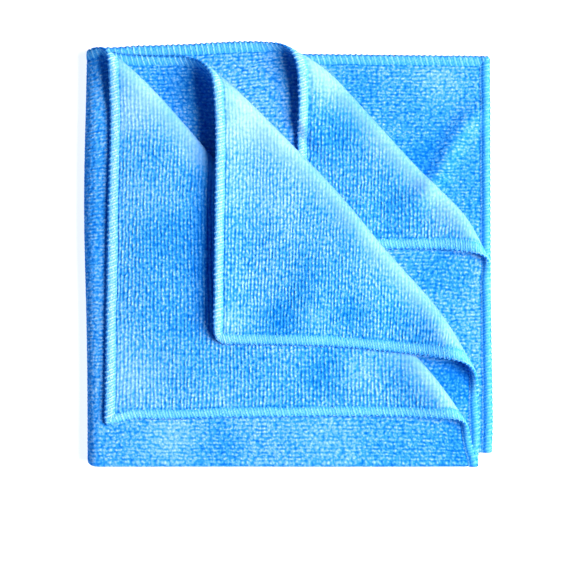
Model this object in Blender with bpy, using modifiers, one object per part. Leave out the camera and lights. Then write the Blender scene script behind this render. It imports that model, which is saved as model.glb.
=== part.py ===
# A square microfibre cloth, folded in quarters, with three of its four free corners turned back.
# Blender 4.5, +Z up. Every length below is in millimetres and the finished mesh is in metres.
#
# The cloth is one sheet. Its own coordinates are u and v, from its centre, with its four quarters
# stacked as layers: 4 is at the bottom, then 3, 2 and 1. The closed corner is at the lower left,
# the left fold joins 4 to 1 and 3 to 2, and the lower fold joins 4 to 3 and 1 to 2. The free corners
# are at the upper right. Layer 1 is turned back as flap A, layer 2 as flap B and layer 3 as flap C.
# In the folded pack, a runs to the right from the left fold and b runs up from the lower fold.

from math import pi, sqrt

import bpy
import bmesh
import numpy as np
from mathutils import Vector
from mathutils.geometry import delaunay_2d_cdt

# Driving dimensions
HALF_SIDE = 200.0        # the cloth is cut 400 x 400
BODY_THICK = 1.6         # looped pile on both faces
HEM_THICK = 1.8          # overlocked edge
HEM_WIDTH = 5.2
LAYER_PITCH = 2.6        # from one lying layer to the next, middle to middle
ACROSS_SCALE = 0.953     # the pack is this much narrower than its folds alone would make it

# Left fold: middle of the bend, and how far it reaches to the left of that
OUTER_BEND = 6.5
OUTER_REACH = 5.2
OUTER_BULGE = 1.8        # more reach round the middle of the pack's height
OUTER_BULGE_AT = 125.0
OUTER_BULGE_WIDE = 55.0
INNER_BEND = 5.7
INNER_REACH = 1.9
OUTER_START = -3.0       # where the cloth's centre line would lie if the fold were opened out
INNER_START = 1.9

# Lower fold: layers 1 and 2 reach lowest, and layers 3 and 4 stop short of them
UPPER_BEND = 1.6
LOWER_BEND_LEFT = 3.2
LOWER_BEND_RIGHT = 8.0
LOW_REACH = 1.9
LOW_HALF_STRIP = 2.6
BLEND_LENGTH = 60.0      # over which one layer's cut goes over into the next one's, each side of a fold

# Where the hems lie: at the folds, and at each layer's free corner
RIGHT_AT_FOLD = {"upper": 195.8, "lower": 203.0}
TOP_AT_FOLD = {"outer": 197.3, "inner": 198.6}
CORNERS = {  # layer: its corner's reach to the right and to the top
    1: {"right": 196.0, "top": 204.0},
    2: {"right": 198.3, "top": 193.2},
    3: {"right": 200.5, "top": 201.5},
    4: {"right": 202.3, "top": 195.0},
}

# Each hem lies this far outside the straight line between its two ends, every HEM_SPACE from the fold
HEM_SPACE = 25.0
HEM_RAMP = 16.0          # the offsets begin over this length
HEM_OFFSETS = {
    1: {
        "right": (-3.2, -0.4, -0.5, -1.5, -2.3, -2.8, -3.2, -2.8, -4.8),
        "top": (1.3, 2.2, 0.5, 0.0, 0.0, 0.2, 0.3, 0.3, 0.6),
    },
    2: {
        "right": (0.1, 1.3, 1.1, 1.2, 1.4, -0.4, 0.6, 1.6, 2.1),
        "top": (-1.3, -0.6, 0.1, -2.1, -2.5, -0.9, 0.6, 1.0, 1.2),
    },
    3: {
        "right": (0.2, -0.1, 0.2, 1.1, 1.9, 2.9, 2.9, 2.3, 2.3),
        "top": (-0.3, -1.0, -0.9, 0.9, 1.0, -0.2, -0.2, -0.4, -0.6),
    },
}
TIP_OUT = 3.6            # layer 1's corner is drawn out to the right by this,
TIP_LENGTH = 16.0        # over this length
CORNER_ROUND = {1: 3.0, 2: 7.5, 3: 5.0, 4: 5.0}  # layer: radius of its corner

# A flap turns back on a line at 45 degrees. Columns: line is a + b along it, roll the radius of its
# bend, lift how far the turned cloth stands off what it lies on, each at the upper end, the middle
# and the lower end. The lift dies away over the length fall. edge is a + b of the fold's outermost
# edge at even steps, from beyond the lower end to beyond the upper one. The turned hems lie at
# a = hem_left and b = hem_low, and stand up there by raise_left and raise_low.
FLAPS = {
    "A": {
        "layer": 1, "half_length": 133.0, "line": (209.5, 214.0, 219.0),
        "roll": (5.3, 2.3, 8.0), "lift": (5.5, 0.3, 6.5), "fall": 17.0,
        "edge": (191.7, 216.2, 215.7, 207.6, 206.9, 213.4, 202.8),
        "hem_left": 11.0, "hem_low": 21.0, "raise_left": 1.3, "raise_low": 0.8,
    },
    "B": {
        "layer": 2, "half_length": 97.0, "line": (258.6, 257.9, 246.8),
        "roll": (8.5, 3.5, 7.6), "lift": (5.5, -1.0, 5.5), "fall": 20.0,
        "edge": (230.1, 251.0, 248.6, 254.9, 253.3, 253.1, 242.6),
        "hem_left": 64.0, "hem_low": 56.0, "raise_left": 2.6, "raise_low": 0.8,
    },
    "C": {
        "layer": 3, "half_length": 66.0, "line": (301.0, 305.4, 303.3),
        "roll": (8.4, 2.5, 5.0), "lift": (7.0, 1.5, 6.0), "fall": 13.0,
        "edge": (292.2, 309.6, 305.3, 306.3, 307.1, 308.4, 291.4),
        "hem_left": 106.0, "hem_low": 104.0, "raise_left": 2.4, "raise_low": 1.2,
    },
}
EDGE_SPACE = 0.4         # of the half length, from one value of edge to the next
EDGE_REACH = 1.2         # half lengths from the middle to the first and the last of them
EASE_LENGTH = 80.0       # how far back from its fold the cloth is drawn along with the edge
EASE_CLEAR = 24.0        # it is drawn less this near the left and lower folds
CURL_START = 0.5         # a roll begins to widen half way from its middle to its ends
RAISE_WIDTH = 10.0       # of the raised strip along a flap's hems
CORNER_DOWN = 24.0       # along flap B's left hem, from its corner, before it stands up
COVER_RAMP = 14.0        # layers 1 and 2 climb on to flap C over this length,
COVER_LEAD = 8.0         # and are up this far before its hems
CLEAR_OF_B = (262.0, 15.0)  # flap C's hems rise only where a + b is past this, over this length

# Long soft waves in the layers, each with its heights' share of the wave
WAVE_LENGTHS = (97.0, 141.0)
WAVE_HEIGHT = 0.8
WAVE_SHARE = {"3": 0.25, "2": 0.5, "1": 0.7, "A": 0.9, "B": 1.0, "C": 0.6}

# Mesh
GRID_PITCH = 14.0
BEND_STEPS = 8           # rows across a bend
ROW_PITCH = 11.0         # along a flap's fold
ROW_MARGIN = 3.5         # plain grid points keep this far from a flap's rows
ROW_SAMPLES = 1200       # a row is found as this many points between these two ends of its fold
ROW_OVERRUN = 1.4
LOW_ROWS_HALF = 3.6      # the rows in the lower fold reach this far from its centre line
HEM_STEP = 1.2           # width of the step from the hem's thickness to the body's
UNDERSIDE_FLAT = 0.06    # the underside is pressed flat below this height
MM = 0.001

TERRY_COLOUR = (0.045, 0.30, 0.84, 1.0)


def smooth(x):
    x = np.clip(x, 0.0, 1.0)
    return x * x * (3.0 - 2.0 * x)


def mix(first, second, share):
    return first + (second - first) * share


def bump(distance, width):
    return np.exp(-(distance / width) ** 2)


def along(values, place):
    # A smooth curve through three values: at the lower end (-1), the middle (0) and the upper end (1)
    upper, middle, lower = values
    return middle + (upper - lower) / 2 * place + ((upper + lower) / 2 - middle) * place**2


def widening(values, place):
    # The middle's value up to CURL_START, then over to that of the end
    upper, middle, lower = values
    end = np.where(place > 0, upper, lower)
    return mix(middle, end, smooth((np.abs(place) - CURL_START) / (1.0 - CURL_START)))


def spline(values, steps):
    # A smooth curve guided by evenly spaced values. steps is the place, counted in those spaces
    steps = np.clip(steps, 0.0, len(values) - 1.0)
    total = np.zeros_like(steps)
    weights = np.zeros_like(steps)
    for index, value in enumerate(values):
        away = np.abs(steps - index)
        near = (4.0 - 6.0 * away**2 + 3.0 * away**3) / 6.0
        weight = np.where(away < 1.0, near, np.maximum(2.0 - away, 0.0) ** 3 / 6.0)
        total = total + value * weight
        weights = weights + weight
    return total / weights


def round_corner(u, v):
    # Draws the square's corners in to arcs, by the map that takes a square to a disc
    radius = np.choose(layer_of(u, v) - 1, [CORNER_ROUND[n] for n in (1, 2, 3, 4)])
    flat = HALF_SIDE - radius
    across = np.maximum(np.abs(u) - flat, 0.0) / radius
    up = np.maximum(np.abs(v) - flat, 0.0) / radius
    round_u = np.sign(u) * (flat + radius * across * np.sqrt(1.0 - np.minimum(up, 1.0) ** 2 / 2))
    round_v = np.sign(v) * (flat + radius * up * np.sqrt(1.0 - np.minimum(across, 1.0) ** 2 / 2))
    return np.where(across > 0, round_u, u), np.where(up > 0, round_v, v)


def starts(u, v):
    # Where the cloth's two centre lines lie in the pack, on a layer opened out flat
    start_a = mix(INNER_START, OUTER_START, smooth((v + BLEND_LENGTH) / (2 * BLEND_LENGTH)))
    low = mix(LOWER_BEND_LEFT, LOWER_BEND_RIGHT, np.clip(u / HALF_SIDE, 0.0, 1.0))
    right = smooth((u + BLEND_LENGTH) / (2 * BLEND_LENGTH))
    start_b = mix(UPPER_BEND, low, right) - LOW_HALF_STRIP
    return start_a, start_b


def hem_offset(values, place):
    # How far a hem lies outside its straight line, at this distance from the fold
    return smooth(place / HEM_RAMP) * spline(values, place / HEM_SPACE)


def reaches(u, v):
    # How far right and up the hems of the layer at (u, v) come
    along_u = np.abs(u) / HALF_SIDE
    along_v = np.abs(v) / HALF_SIDE
    layer = layer_of(u, v)
    corner_right = np.choose(layer - 1, [CORNERS[n]["right"] for n in (1, 2, 3, 4)])
    corner_top = np.choose(layer - 1, [CORNERS[n]["top"] for n in (1, 2, 3, 4)])
    fold_right = np.where(u < 0, RIGHT_AT_FOLD["upper"], RIGHT_AT_FOLD["lower"])
    fold_top = np.where(v > 0, TOP_AT_FOLD["outer"], TOP_AT_FOLD["inner"])
    right = mix(fold_right, corner_right, along_v)
    top = mix(fold_top, corner_top, along_u)
    for number, offsets in HEM_OFFSETS.items():
        mine = layer == number
        right[mine] += hem_offset(offsets["right"], np.abs(v[mine]))
        top[mine] += hem_offset(offsets["top"], np.abs(u[mine]))
    tip = TIP_OUT * smooth((np.abs(v) - HALF_SIDE + TIP_LENGTH) / TIP_LENGTH)
    return right + np.where(layer == 1, tip, 0.0), top


def layer_of(u, v):
    return np.where(u < 0, np.where(v > 0, 1, 2), np.where(v > 0, 4, 3))


def spread(u, v):
    # The place in the pack of a point of the cloth, before its flap is turned
    u, v = round_corner(u, v)
    start_a, start_b = starts(u, v)
    right, top = reaches(u, v)
    a = start_a + np.abs(u) / HALF_SIDE * (right - start_a)
    b = start_b + np.abs(v) / HALF_SIDE * (top - start_b)
    return a, b


def unspread(a, b, sign_u, sign_v):
    # The point of the cloth whose place before turning is (a, b), found by repeated correction. The
    # rounding of the corners is left out
    u = sign_u * a
    v = sign_v * b
    for _ in range(12):
        start_a, start_b = starts(u, v)
        right, top = reaches(u, v)
        u = sign_u * (a - start_a) / (right - start_a) * HALF_SIDE
        v = sign_v * (b - start_b) / (top - start_b) * HALF_SIDE
    return u, v


def flap_place(flap, a, b):
    # Along the flap's fold (-1 to 1 between its ends) and the distance outwards from it
    run = (b - a) / sqrt(2)
    place = run / flap["half_length"]
    out = (a + b - along(flap["line"], place)) / sqrt(2)
    return run, place, out


def turn_back(flap, a, b):
    # Rolls the cloth past the fold line over and back, by moving it square to the line, and eases it
    # out or in so that the bend's outermost points lie on edge. Returns the new place and how far
    # each point has gone from the layer (0) to the flap above it (1)
    run, place, out = flap_place(flap, a, b)
    roll = widening(flap["roll"], place)
    strip = pi / 2 * roll
    angle = np.clip((out + strip) / roll, 0.0, pi)
    turned = np.where(out > strip, -out, np.where(out < -strip, out, roll * np.sin(angle) - strip))
    edge = spline(flap["edge"], (place + EDGE_REACH) / EDGE_SPACE)
    ease = (edge - along(flap["line"], place)) / sqrt(2) + strip - roll
    ease = ease * smooth(1.0 + turned / EASE_LENGTH) * smooth(np.minimum(a, b) / EASE_CLEAR)
    turned = turned + ease
    shift = (turned - out) / sqrt(2)
    return a + shift, b + shift, (1.0 - np.cos(angle)) / 2


def flap_lift(name, a, b):
    # How far flap A, B or C stands above the place where it would lie close
    flap = FLAPS[name]
    run, place, out = flap_place(flap, a, b)
    rise = widening(flap["lift"], place) * bump(np.minimum(out, 0.0), flap["fall"])
    left = flap["raise_left"] * bump(a - flap["hem_left"], RAISE_WIDTH)
    low = flap["raise_low"] * bump(b - flap["hem_low"], RAISE_WIDTH)
    if name == "B":
        left = left * smooth((b - flap["hem_low"]) / CORNER_DOWN)
    if name == "C":
        clear = smooth((a + b - CLEAR_OF_B[0]) / CLEAR_OF_B[1])
        left = left * clear
        low = low * clear
    return rise + np.maximum(left, low)


def wave(a, b):
    first, second = WAVE_LENGTHS
    slow = np.sin(2 * pi * (a / first + 0.35 * np.sin(2 * pi * b / second)))
    cross = np.sin(2 * pi * (b / first - a / second) + 1.1)
    return WAVE_HEIGHT * (slow + cross) / 2


def heights(a, b):
    # Height of the middle of every layer and flap above the floor, wherever it would lie at (a, b)
    swell = wave(a, b)
    flap_c = FLAPS["C"]
    cover = smooth((a - flap_c["hem_left"] + COVER_LEAD) / COVER_RAMP + 1.0)
    cover = cover * smooth((b - flap_c["hem_low"] + COVER_LEAD) / COVER_RAMP + 1.0)
    level = {"4": np.full_like(a, BODY_THICK / 2)}
    base_3 = level["4"] + LAYER_PITCH
    base_2 = base_3 + LAYER_PITCH * (1.0 + cover)
    level["3"] = base_3 + WAVE_SHARE["3"] * swell
    level["C"] = base_3 + LAYER_PITCH + WAVE_SHARE["C"] * swell * (1.0 - cover) + flap_lift("C", a, b)
    level["2"] = base_2 + WAVE_SHARE["2"] * swell
    level["1"] = base_2 + LAYER_PITCH + WAVE_SHARE["1"] * swell
    level["A"] = base_2 + 2 * LAYER_PITCH + WAVE_SHARE["A"] * swell + flap_lift("A", a, b)
    level["B"] = base_2 + 3 * LAYER_PITCH + WAVE_SHARE["B"] * swell + flap_lift("B", a, b)
    return level


def thickness(u, v):
    from_edge = HALF_SIDE - np.maximum(np.abs(u), np.abs(v))
    return mix(HEM_THICK, BODY_THICK, smooth((from_edge - HEM_WIDTH + HEM_STEP) / HEM_STEP))


def bend_angle(side, from_start, strip):
    # 0 on the side where the cloth's coordinate is positive, pi on the other, and half round between
    return pi / 2 * (1.0 - np.sign(side) * np.clip(from_start / strip, 0.0, 1.0))


def fold(u, v):
    # The middle of the sheet in the folded pack: x, y and z of each point (u, v)
    a, b = spread(u, v)
    start_a, start_b = starts(u, v)
    layer = layer_of(u, v)
    turned = np.zeros_like(a)
    for flap in FLAPS.values():
        mine = layer == flap["layer"]
        a[mine], b[mine], turned[mine] = turn_back(flap, a[mine], b[mine])

    # over goes from layers 4 and 1 (0) to layers 3 and 2 (1), round the lower bend, and up goes from
    # layers 4 and 3 (0) to layers 1 and 2 (1), round the left bend. Each bend's place depends on the
    # other's share, so the left one takes a first estimate of over
    low = mix(LOWER_BEND_LEFT, LOWER_BEND_RIGHT, np.clip(a / HALF_SIDE, 0.0, 1.0))
    over = (1.0 - np.cos(bend_angle(v, b - start_b, LOW_HALF_STRIP))) / 2
    bend_a = mix(OUTER_BEND, INNER_BEND, over)
    angle_u = bend_angle(u, a - start_a, bend_a - start_a)
    up = (1.0 - np.cos(angle_u)) / 2
    bend_b = mix(low, UPPER_BEND, up)
    angle_v = bend_angle(v, b - start_b, bend_b - start_b)
    over = (1.0 - np.cos(angle_v)) / 2
    inside_a = a < bend_a
    inside_b = b < bend_b
    bulge = OUTER_BULGE * bump(b - OUTER_BULGE_AT, OUTER_BULGE_WIDE)
    reach_a = mix(OUTER_REACH + bulge, INNER_REACH, over)
    x = np.where(inside_a, bend_a - reach_a * np.sin(angle_u), a)
    y = np.where(inside_b, bend_b - LOW_REACH * np.sin(angle_v), b)

    level = heights(x, y)
    level["4"] = thickness(u, v) / 2
    bottom = mix(level["4"], level["3"], over)
    top = mix(level["1"], level["2"], over)
    z = mix(bottom, top, up)
    for name, flap in FLAPS.items():
        mine = layer == flap["layer"]
        z[mine] = mix(z[mine], level[name][mine], turned[mine])
    return np.column_stack([x * ACROSS_SCALE, y, z])


def line_places(half_strip):
    # Grid lines from one edge of the cloth to the other: the hems, even steps and a bend's rows
    bend = np.linspace(-half_strip, half_strip, BEND_STEPS + 1)
    inner_edge = HALF_SIDE - HEM_WIDTH
    outside = np.linspace(half_strip, inner_edge, round((inner_edge - half_strip) / GRID_PITCH) + 1)[1:]
    outside = np.append(outside, [HALF_SIDE - HEM_WIDTH * 0.4, HALF_SIDE])
    return np.concatenate([-outside[::-1], bend, outside])


def flap_row(flap, out, steps):
    # Points of the cloth along one row of a flap's bend, from hem to hem. out is the row's distance
    # outwards from the fold line, in radii of the roll
    layer = flap["layer"]
    sign_u = -1.0 if layer in (1, 2) else 1.0
    sign_v = 1.0 if layer in (1, 4) else -1.0
    place = np.linspace(-ROW_OVERRUN, ROW_OVERRUN, ROW_SAMPLES)
    run = place * flap["half_length"]
    total = along(flap["line"], place) + sqrt(2) * out * widening(flap["roll"], place)
    u, v = unspread((total - sqrt(2) * run) / 2, (total + sqrt(2) * run) / 2, sign_u, sign_v)
    inside = (np.abs(u) <= HALF_SIDE) & (np.abs(v) <= HALF_SIDE)
    u = u[inside]
    v = v[inside]
    u[0] = sign_u * HALF_SIDE
    v[-1] = sign_v * HALF_SIDE
    length = np.append(0.0, np.cumsum(np.hypot(np.diff(u), np.diff(v))))
    hem = HEM_WIDTH * sqrt(2)
    stations = np.concatenate([[0.0], np.linspace(hem, length[-1] - hem, steps + 1), [length[-1]]])
    return np.column_stack([np.interp(stations, length, u), np.interp(stations, length, v)])


def flat_points():
    # Points of the flat cloth: a grid with rows in its two bends, and rows in each flap's bend. The
    # edges along a flap's rows are given too, so that no face lies across them
    half_strip_u = OUTER_BEND - OUTER_START
    u, v = np.meshgrid(line_places(half_strip_u), line_places(LOW_ROWS_HALF))
    u = u.ravel()
    v = v.ravel()
    a, b = spread(u, v)
    layer = layer_of(u, v)
    in_bend = (np.abs(u) <= half_strip_u) | (np.abs(v) <= LOW_ROWS_HALF)
    kept = np.ones(len(u), bool)
    rows = []
    for flap in FLAPS.values():
        run, place, out = flap_place(flap, a, b)
        strip = pi / 2 * widening(flap["roll"], place) + ROW_MARGIN
        kept &= (layer != flap["layer"]) | (np.abs(out) > strip) | in_bend
        steps = round(2 * flap["half_length"] / ROW_PITCH)
        for out in np.linspace(-pi / 2, pi / 2, BEND_STEPS + 1):
            rows.append(flap_row(flap, out, steps))
    grid = np.column_stack([u, v])[kept]
    edges = []
    first = len(grid)
    for row in rows:
        edges += [(first + n, first + n + 1) for n in range(len(row) - 1)]
        first += len(row)
    return np.concatenate([grid] + rows), edges


def cloth_sheet(name):
    # The flat points joined by a Delaunay net, then moved to where they lie in the folded pack
    flat, edges = flat_points()
    points, _, faces, _, _, _ = delaunay_2d_cdt([Vector(p) for p in flat], edges, [], 0, 1e-4)
    flat = np.array([p[:] for p in points])
    u = flat[:, 0]
    v = flat[:, 1]
    folded = fold(u, v)
    mesh = bpy.data.meshes.new(name)
    mesh.from_pydata((folded * MM).tolist(), [], faces)
    sheet = bpy.data.objects.new(name, mesh)
    group = sheet.vertex_groups.new(name="hem")
    weight = (thickness(u, v) - BODY_THICK) / (HEM_THICK - BODY_THICK)
    for index in np.nonzero(weight > 0)[0]:
        group.add([int(index)], float(weight[index]), "REPLACE")
    return sheet


def terry_material():
    material = bpy.data.materials.new("terry")
    material.use_nodes = True
    shader = material.node_tree.nodes["Principled BSDF"]
    shader.inputs["Base Color"].default_value = TERRY_COLOUR
    shader.inputs["Roughness"].default_value = 0.9
    shader.inputs["Metallic"].default_value = 0.0
    return material


def solid_cloth(collection, name):
    # The sheet thickened to both sides, its underside pressed flat, and its origin at the middle of
    # the underside
    sheet = cloth_sheet(name + "_sheet")
    collection.objects.link(sheet)
    shell = sheet.modifiers.new("thickness", "SOLIDIFY")
    shell.thickness = HEM_THICK * MM
    shell.offset = 0.0
    shell.vertex_group = "hem"
    shell.thickness_vertex_group = BODY_THICK / HEM_THICK
    evaluated = sheet.evaluated_get(bpy.context.evaluated_depsgraph_get())
    mesh = bpy.data.meshes.new_from_object(evaluated)
    mesh.name = name
    bpy.data.objects.remove(sheet)

    points = np.empty(len(mesh.vertices) * 3)
    mesh.vertices.foreach_get("co", points)
    points = points.reshape(-1, 3)
    points[points[:, 2] < UNDERSIDE_FLAT * MM, 2] = 0.0
    points[:, :2] -= (points[:, :2].min(axis=0) + points[:, :2].max(axis=0)) / 2
    mesh.vertices.foreach_set("co", points.ravel())

    solid = bmesh.new()
    solid.from_mesh(mesh)
    bmesh.ops.recalc_face_normals(solid, faces=solid.faces)
    solid.to_mesh(mesh)
    solid.free()
    mesh.materials.clear()
    mesh.materials.append(terry_material())
    mesh.shade_smooth()
    cloth = bpy.data.objects.new(name, mesh)
    collection.objects.link(cloth)
    return cloth


def main():
    for old in list(bpy.data.objects):
        bpy.data.objects.remove(old, do_unlink=True)
    collection = bpy.data.collections.new("folded_cloth")
    bpy.context.scene.collection.children.link(collection)
    solid_cloth(collection, "cloth")


main()
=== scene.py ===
from math import pi, sqrt

import bpy
import numpy as np
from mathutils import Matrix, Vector


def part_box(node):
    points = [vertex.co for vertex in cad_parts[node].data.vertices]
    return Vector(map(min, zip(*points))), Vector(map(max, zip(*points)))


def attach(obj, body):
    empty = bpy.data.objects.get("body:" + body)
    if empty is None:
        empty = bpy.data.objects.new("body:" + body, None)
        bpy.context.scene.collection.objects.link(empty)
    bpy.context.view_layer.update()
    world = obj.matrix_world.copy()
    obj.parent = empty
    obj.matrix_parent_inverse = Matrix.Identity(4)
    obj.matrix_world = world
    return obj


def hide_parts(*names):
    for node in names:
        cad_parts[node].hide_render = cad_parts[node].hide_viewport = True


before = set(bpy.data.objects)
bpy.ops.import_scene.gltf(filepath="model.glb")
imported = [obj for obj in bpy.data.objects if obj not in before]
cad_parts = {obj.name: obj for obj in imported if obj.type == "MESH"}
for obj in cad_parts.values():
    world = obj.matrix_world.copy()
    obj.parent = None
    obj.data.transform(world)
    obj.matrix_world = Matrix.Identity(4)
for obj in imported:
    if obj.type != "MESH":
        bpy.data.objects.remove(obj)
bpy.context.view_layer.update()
mm = 0.001

# Lengths are in millimetres until a mesh is written. u and v are the flat cloth's own coordinates,
# from its middle. a and b are places in the folded pack, right from the left fold and up from the
# lower one. Layers count down from the top: 1, 2, 3, and 4 on the floor. Layers 1 and 4 meet in the
# left fold outside 2 and 3. Layers 1 and 2 meet in the lower fold above 3 and 4.
cloth = {
    # The sheet, the step from one layer to the next, and how wide it lies for its height
    "halfSide": 200.0, "thick": 1.6, "pitch": 2.6, "acrossScale": 0.953,
    # The left fold, outside and inside: where the cloth's centre line lies, where the bend ends and
    # how far it reaches, with a bulge along the outside. Both centre lines ease from one place to
    # the other within blend of the cloth's middle
    "outerStart": -3.0, "outerBend": 6.5, "outerReach": 5.2,
    "innerStart": 1.9, "innerBend": 5.7, "innerReach": 1.9,
    "bulge": 1.8, "bulgeAt": 125.0, "bulgeWide": 55.0, "blend": 60.0,
    # The lower fold, above and below: where its bends end, how far they reach, and how far below
    # their ends the centre line lies
    "upperBend": 1.6, "lowerBendLeft": 3.2, "lowerBendRight": 8.0, "lowReach": 1.9, "lowStrip": 2.6,
    # The hems: their places at the folds, then at the corners of layers 1 to 4. The offsets below
    # lie hemSpace apart, eased in over hemRamp. Layer 1's corner is drawn out to the right, and the
    # cut corners are rounded
    "rightUpper": 195.8, "rightLower": 203.0, "topOuter": 197.3, "topInner": 198.6,
    "cornerRight": (196.0, 198.3, 200.5, 202.3), "cornerTop": (204.0, 193.2, 201.5, 195.0),
    "hemSpace": 25.0, "hemRamp": 16.0, "tipOut": 3.6, "tipLength": 16.0,
    "cornerRound": (3.0, 7.5, 4.0, 2.5),
    # Slow waves, and a ridge's sway for its length and how soon it has its full height
    "waveLengths": (97.0, 141.0), "waveHeight": 0.8, "waveSway": 0.35, "waveShift": 1.1,
    "ridgeSway": 0.08, "ridgeEnds": 3.0,
    # Turned flaps: how far apart and how far out the edge's guides lie, over what lengths the edge
    # is eased, where the roll and the lift begin to widen, and how wide the raised hems are
    "edgeSpace": 0.4, "edgeReach": 1.2, "easeLength": 80.0, "easeClear": 24.0, "curlStart": 0.5,
    "raiseWidth": 14.0, "cornerDown": 15.0, "clearFrom": 262.0, "clearOver": 10.0,
    # Layers 1 and 2 climb on to flap C over coverRamp, and are up coverLead before its hems
    "coverRamp": 40.0, "coverLead": 8.0,
    # A low roll along plain right hems, for layers 1 to 4, and the bend down of a flap's lower hem
    "rollAt": 2.2, "rollWide": 1.7, "rollUp": (0.5, 0.5, 0.7, 0.7), "droop": 0.7, "droopWide": 5.0,
}
waveShare = {"1": 0.7, "2": 0.5, "3": 0.25, "A": 0.9, "B": 1.0, "C": 0.6}

# How far each layer's hems lie outside a straight line, every hemSpace from the fold
hemOffsets = {
    1: {"right": (-3.2, -0.4, -0.5, -1.5, -2.3, -2.8, -3.2, -2.8, -4.8),
        "top": (1.3, 2.2, 0.5, 0.0, 0.0, 0.2, 0.3, 0.3, 0.6)},
    2: {"right": (0.1, 1.3, 1.1, 1.2, 1.4, -0.4, 0.6, 1.6, 2.1),
        "top": (-1.3, -0.6, 0.1, -2.1, -2.5, -0.9, 0.6, 1.0, 1.2)},
    3: {"right": (0.2, -0.1, 0.2, 1.1, 1.9, 2.9, 2.9, 2.3, 2.3),
        "top": (-0.3, -1.0, -0.9, 0.9, 1.0, -0.2, -0.2, -0.4, -0.6)},
}

# Each flap turns back on a 45 degree line, a + b = line. Triples are at its upper end, middle and
# lower end: the line, the radius of the rolled fold, and how far the flap stands off what is below.
# edge is a + b of the fold's outermost edge, from beyond its lower end to beyond its upper one.
flaps = {
    "A": {"layer": 1, "half": 133.0, "line": (209.5, 214.0, 219.0), "roll": (5.3, 2.3, 8.0),
          "lift": (5.5, 0.3, 6.5), "fall": 17.0, "hemLeft": 11.0, "hemLow": 21.0,
          "raiseLeft": -0.4, "raiseLow": 0.1,
          "edge": (191.7, 216.2, 215.7, 207.6, 206.9, 213.4, 202.8)},
    "B": {"layer": 2, "half": 97.0, "line": (258.6, 257.9, 246.8), "roll": (8.5, 3.5, 7.6),
          "lift": (4.2, -1.0, 5.0), "fall": 22.0, "hemLeft": 64.0, "hemLow": 56.0,
          "raiseLeft": 3.9, "raiseLow": 0.1,
          "edge": (230.1, 251.0, 248.6, 254.9, 253.3, 253.1, 242.6)},
    "C": {"layer": 3, "half": 66.0, "line": (301.0, 305.4, 303.3), "roll": (8.4, 2.5, 5.0),
          "lift": (5.0, 1.5, 3.8), "fall": 14.0, "hemLeft": 106.0, "hemLow": 104.0,
          "raiseLeft": 2.9, "raiseLow": 0.7,
          "edge": (292.2, 309.6, 305.3, 306.3, 307.1, 308.4, 291.4)},
}

# Soft ridges, each from one place (a, b) to another, so wide and so high. One lifts all that lies
# above it too. Columns: what it is in, start, end, width, height.
creases = [
    ("4", (146.0, 121.0), (216.0, 174.0), 5.0, 2.0),
    ("C", (122.0, 104.0), (150.0, 136.0), 9.0, 0.6),
    ("A", (58.0, 24.0), (44.0, 62.0), 9.0, 0.5),
    ("A", (138.0, 22.0), (128.0, 56.0), 11.0, 0.6),
    ("A", (176.0, 20.0), (158.0, 52.0), 7.0, 0.7),
    ("A", (18.0, 60.0), (40.0, 120.0), 11.0, 0.4),
    ("B", (96.0, 56.0), (128.0, 100.0), 9.0, 0.7),
    ("B", (136.0, 56.0), (152.0, 84.0), 8.0, 0.7),
]


def smooth(x):  # 3x^2 - 2x^3 between 0 and 1
    x = np.clip(x, 0.0, 1.0)
    return x * x * (3.0 - 2.0 * x)


def mix(first, second, share):  # straight line from first to second
    return first + (second - first) * share


def bump(distance, width):  # bell curve, e^-(d/w)^2
    return np.exp(-(distance / width) ** 2)


def along(triple, place):  # parabola through an upper, a middle and a lower value at 1, 0 and -1
    upper, middle, lower = triple
    return middle + (upper - lower) / 2 * place + ((upper + lower) / 2 - middle) * place**2


def widening(triple, place):  # the middle value, eased over to each end's
    upper, middle, lower = triple
    end = np.where(place > 0, upper, lower)
    return mix(middle, end, smooth((np.abs(place) - cloth["curlStart"]) / (1.0 - cloth["curlStart"])))


# The soft noise's lattice: its points each way, and where in it the cloth lies
noise = {"points": 256, "shiftX": 400.37, "shiftY": 400.71}


def softNoise(x, y, size, seed):
    # random heights from -1 to 1 on a square lattice of that size, eased between its points
    points = noise["points"]
    heights = np.random.default_rng(seed).uniform(-1, 1, (points, points))
    x = x / size + noise["shiftX"]
    y = y / size + noise["shiftY"]
    column = np.floor(x).astype(int)
    row = np.floor(y).astype(int)
    across = smooth(x - column)
    up = smooth(y - row)
    column, nextColumn = column % points, (column + 1) % points
    row, nextRow = row % points, (row + 1) % points
    low = mix(heights[row, column], heights[row, nextColumn], across)
    high = mix(heights[nextRow, column], heights[nextRow, nextColumn], across)
    return mix(low, high, up)


def spline(values, steps):
    # cubic B-spline through evenly spaced guides, shares summing to 1 also at its ends
    steps = np.clip(steps, 0.0, len(values) - 1.0)
    total = np.zeros_like(steps)
    shares = np.zeros_like(steps)
    for index, value in enumerate(values):
        away = np.abs(steps - index)
        near = (4.0 - 6.0 * away**2 + 3.0 * away**3) / 6.0
        share = np.where(away < 1.0, near, np.maximum(2.0 - away, 0.0) ** 3 / 6.0)
        total = total + value * share
        shares = shares + share
    return total / shares


def layerOf(u, v):  # the layer of each point, from the quarter of the cloth that it is in
    return np.where(u < 0, np.where(v > 0, 1, 2), np.where(v > 0, 4, 3))


def starts(u, v):  # where the cloth's two centre lines lie, eased from one layer to the next
    startA = mix(cloth["innerStart"], cloth["outerStart"], smooth(v / (2 * cloth["blend"]) + 0.5))
    low = mix(cloth["lowerBendLeft"], cloth["lowerBendRight"], np.clip(u / cloth["halfSide"], 0, 1))
    startB = mix(cloth["upperBend"], low, smooth(u / (2 * cloth["blend"]) + 0.5)) - cloth["lowStrip"]
    return startA, startB


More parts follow.
